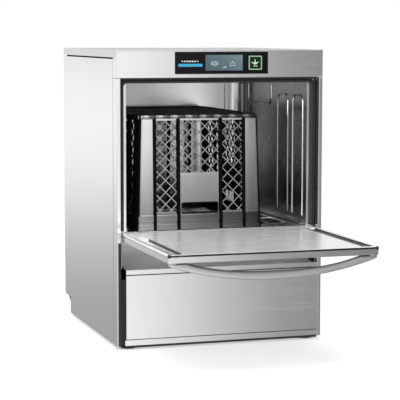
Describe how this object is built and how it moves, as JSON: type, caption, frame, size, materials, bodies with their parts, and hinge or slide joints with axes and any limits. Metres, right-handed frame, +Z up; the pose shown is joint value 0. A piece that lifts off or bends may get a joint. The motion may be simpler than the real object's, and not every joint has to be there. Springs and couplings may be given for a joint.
{
  "type": "commercial dishwasher",
  "caption": "Undercounter stainless steel commercial dishwasher with a drop-down door, touch display, spray arms and a sliding wash crate.",
  "frame": {"origin": "centre of the casing's footprint at the level of the base pan's underside", "axes": "+X to the machine's right seen from the front, +Y towards the rear, +Z up"},
  "size_m": [0.6, 1.0778, 0.824],
  "materials": {
    "brushed_stainless": "fine straight brushing",
    "satin_stainless": "satin",
    "polished_bar": "polished",
    "zinc_plate": "dull zinc",
    "black_glass": "gloss, opaque black print behind",
    "display": "gloss",
    "button": "gloss",
    "circuit_board": "matte",
    "black_rubber": "matte",
    "foot_rubber": "matte",
    "black_crate_plastic": "moulded, slight sheen",
    "grey_hose": "matte",
    "grey_plastic": "matte",
    "white_plastic": "matte",
    "door_foam": "open foam",
    "cast_motor": "cast, dull"
  },
  "bodies": {
    "cabinet": {"top_cover": "brushed_stainless", "control_fascia": "brushed_stainless", "control_glass": "black_glass", "display_screen": "display", "control_housing": "grey_plastic", "control_board": "circuit_board", "left_side_panel": "brushed_stainless", "right_side_panel": "brushed_stainless", "rear_panel": "brushed_stainless", "base_pan": "brushed_stainless", "left_front_post": "brushed_stainless", "right_front_post": "brushed_stainless", "lower_front_panel": "brushed_stainless", "plinth_strip": "brushed_stainless", "door_sill": "brushed_stainless", "wash_tank": "satin_stainless", "door_seal": "black_rubber", "rack_frame": "polished_bar", "tank_filter": "satin_stainless", "sump_strainer": "satin_stainless", "tank_heating_element": "polished_bar", "lower_spindle": "grey_plastic", "upper_spindle": "grey_plastic", "wash_pump_volute": "grey_plastic", "wash_pump_motor": "cast_motor", "suction_hose": "grey_hose", "pressure_hose": "grey_hose", "wash_feed_pipe": "satin_stainless", "rinse_boiler": "satin_stainless", "drain_pump": "grey_plastic", "drain_hose": "grey_hose", "inlet_valve": "white_plastic", "inlet_hose": "grey_hose", "detergent_dosing_pump": "white_plastic", "rinse_aid_dosing_pump": "white_plastic", "power_module": "grey_plastic", "power_cable": "black_rubber", "hinge_bracket_left": "zinc_plate", "hinge_bracket_right": "zinc_plate", "hinge_pin_left": "polished_bar", "hinge_pin_right": "polished_bar", "hinge_spring_left": "zinc_plate", "hinge_spring_right": "zinc_plate"},
    "door": {"door_outer_panel": "brushed_stainless", "door_inner_panel": "satin_stainless", "door_insulation": "door_foam", "door_handle": "polished_bar", "door_hinge_plate_left": "zinc_plate", "door_hinge_plate_right": "zinc_plate"},
    "crate": {"wash_crate": "black_crate_plastic"},
    "lower_wash_arm": {"lower_wash_arm": "grey_plastic"},
    "lower_rinse_arm": {"lower_rinse_arm": "grey_plastic"},
    "upper_wash_arm": {"upper_wash_arm": "grey_plastic"},
    "upper_rinse_arm": {"upper_rinse_arm": "grey_plastic"},
    "start_button": {"start_button": "button"},
    "standpipe": {"overflow_standpipe": "grey_plastic"},
    "foot_front_left": {"foot_front_left": "foot_rubber"},
    "foot_front_right": {"foot_front_right": "foot_rubber"},
    "foot_rear_left": {"foot_rear_left": "foot_rubber"},
    "foot_rear_right": {"foot_rear_right": "foot_rubber"}
  },
  "joints": [
    {"name": "door_hinge", "type": "hinge", "parent": "cabinet", "child": "door", "pos_m": [0, -0.316, 0.297], "axis": [-1, 0, 0], "range_deg": [0, 90], "deforming": ["hinge_spring_left", "hinge_spring_right"]},
    {"name": "crate_slide", "type": "slide", "parent": "cabinet", "child": "crate", "axis": [0, 1, 0], "range_m": [-0.416, 0]},
    {"name": "start_button_press", "type": "slide", "parent": "cabinet", "child": "start_button", "axis": [0, 1, 0], "range_m": [0, 0.0015], "stiffness_N_per_m": 600},
    {"name": "standpipe_lift", "type": "slide", "parent": "cabinet", "child": "standpipe", "axis": [0, 0, 1], "range_m": [0, 0.08]},
    {"name": "lower_wash_arm_spin", "type": "hinge", "parent": "cabinet", "child": "lower_wash_arm", "pos_m": [0, 0.012, 0.27], "axis": [0, 0, 1], "continuous": true},
    {"name": "lower_rinse_arm_spin", "type": "hinge", "parent": "cabinet", "child": "lower_rinse_arm", "pos_m": [0, 0.012, 0.287], "axis": [0, 0, 1], "continuous": true},
    {"name": "upper_wash_arm_spin", "type": "hinge", "parent": "cabinet", "child": "upper_wash_arm", "pos_m": [0, 0.012, 0.755], "axis": [0, 0, 1], "continuous": true},
    {"name": "upper_rinse_arm_spin", "type": "hinge", "parent": "cabinet", "child": "upper_rinse_arm", "pos_m": [0, 0.012, 0.738], "axis": [0, 0, 1], "continuous": true},
    {"name": "foot_front_left_height", "type": "slide", "parent": "cabinet", "child": "foot_front_left", "axis": [0, 0, -1], "range_m": [0, 0.018]},
    {"name": "foot_front_right_height", "type": "slide", "parent": "cabinet", "child": "foot_front_right", "axis": [0, 0, -1], "range_m": [0, 0.018]},
    {"name": "foot_rear_left_height", "type": "slide", "parent": "cabinet", "child": "foot_rear_left", "axis": [0, 0, -1], "range_m": [0, 0.018]},
    {"name": "foot_rear_right_height", "type": "slide", "parent": "cabinet", "child": "foot_rear_right", "axis": [0, 0, -1], "range_m": [0, 0.018]}
  ]
}
